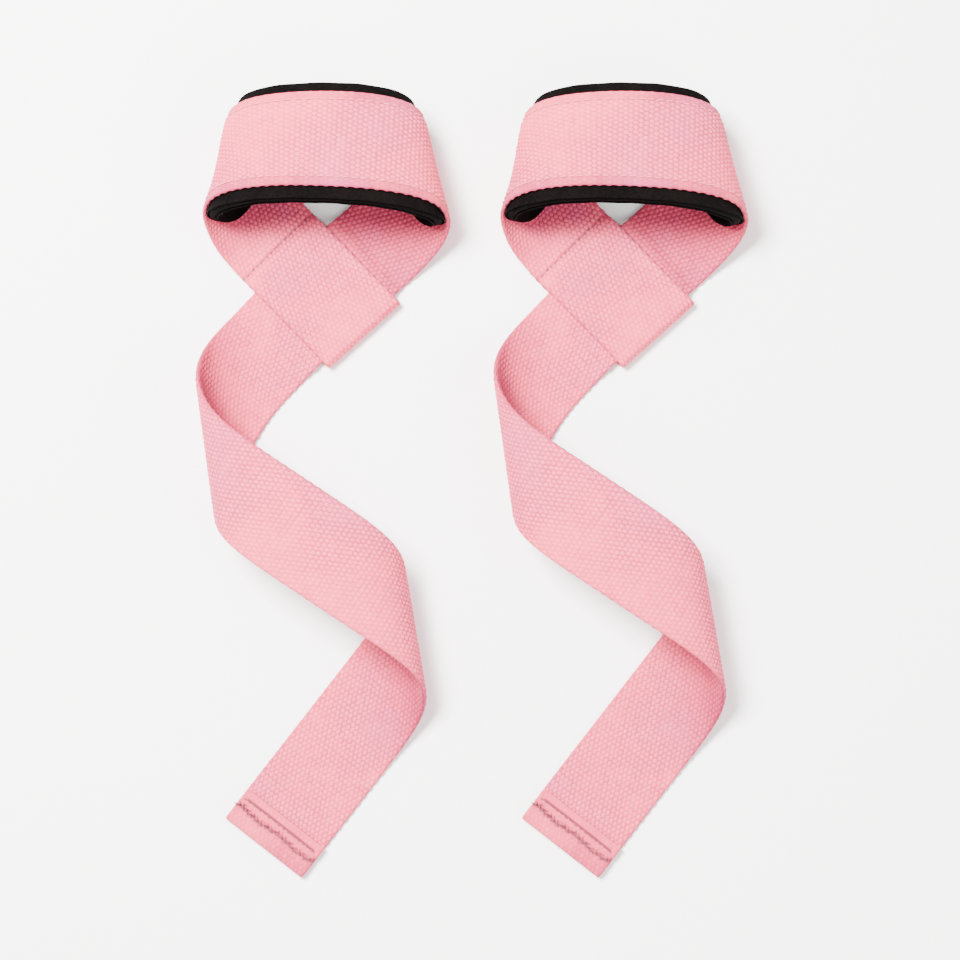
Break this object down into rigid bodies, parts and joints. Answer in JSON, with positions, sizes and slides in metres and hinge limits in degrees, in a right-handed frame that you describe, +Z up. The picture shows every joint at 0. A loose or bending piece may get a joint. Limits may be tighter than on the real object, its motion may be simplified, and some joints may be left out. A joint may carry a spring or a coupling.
{
  "type": "padded lifting straps",
  "caption": "Pair of cotton webbing lifting straps, each with a neoprene-padded wrist loop run through its own sewn sleeve and a free tail lying in one loose turn.",
  "frame": {"origin": "centre of the pair's bounding box, at the table it lies on", "axes": "+Z up from the table; +Y along the straps from the hems to the wrist loops; +X from the left strap to the right one"},
  "size_m": [0.217, 0.3102, 0.0447],
  "materials": {
    "webbing": "light pink plain-woven cotton webbing",
    "thread": "pink sewing thread",
    "jersey": "black knitted face of the pad",
    "neoprene_foam": "black neoprene foam, cut edge"
  },
  "bodies": {
    "left_loop": {"left_wrist_band": "webbing", "left_sleeve": "webbing", "left_pad_backing": "jersey", "left_pad_foam": "neoprene_foam", "left_pad_lining": "jersey", "left_sleeve_stitch": "thread", "left_pad_stitch_upper": "thread", "left_pad_stitch_lower": "thread", "left_pad_bobbin_upper": "thread", "left_pad_bobbin_lower": "thread"},
    "left_neck": {"left_tail_neck": "webbing"},
    "left_front": {"left_tail_front": "webbing"},
    "left_end": {"left_tail_end": "webbing", "left_hem_stitch_1": "thread", "left_hem_stitch_2": "thread"},
    "right_loop": {"right_wrist_band": "webbing", "right_sleeve": "webbing", "right_pad_backing": "jersey", "right_pad_foam": "neoprene_foam", "right_pad_lining": "jersey", "right_sleeve_stitch": "thread", "right_pad_stitch_upper": "thread", "right_pad_stitch_lower": "thread", "right_pad_bobbin_upper": "thread", "right_pad_bobbin_lower": "thread"},
    "right_neck": {"right_tail_neck": "webbing"},
    "right_front": {"right_tail_front": "webbing"},
    "right_end": {"right_tail_end": "webbing", "right_hem_stitch_1": "thread", "right_hem_stitch_2": "thread"}
  },
  "joints": [
    {"name": "right_strap_apart", "type": "slide", "parent": "left_loop", "child": "right_loop", "axis": [1, 0, 0], "range_m": [0, 0.3]},
    {"name": "left_tail_cinch", "type": "slide", "parent": "left_loop", "child": "left_neck", "axis": [-0.745, -0.6671, 0], "range_m": [0, 0.022]},
    {"name": "left_first_turn", "type": "hinge", "parent": "left_neck", "child": "left_front", "pos_m": [-0.10358, 0.01329, 0.01893], "axis": [0.1382, -0.9904, 0], "range_deg": [0, 40]},
    {"name": "left_second_turn", "type": "hinge", "parent": "left_front", "child": "left_end", "pos_m": [-0.02308, -0.0573, 0.01893], "axis": [-0.1692, 0.9856, 0], "range_deg": [0, 35]},
    {"name": "right_tail_cinch", "type": "slide", "parent": "right_loop", "child": "right_neck", "axis": [-0.745, -0.6671, 0], "range_m": [0, 0.022]},
    {"name": "right_first_turn", "type": "hinge", "parent": "right_neck", "child": "right_front", "pos_m": [0.01311, 0.01329, 0.01893], "axis": [0.1382, -0.9904, 0], "range_deg": [0, 40]},
    {"name": "right_second_turn", "type": "hinge", "parent": "right_front", "child": "right_end", "pos_m": [0.09362, -0.0573, 0.01893], "axis": [-0.1692, 0.9856, 0], "range_deg": [0, 35]}
  ]
}
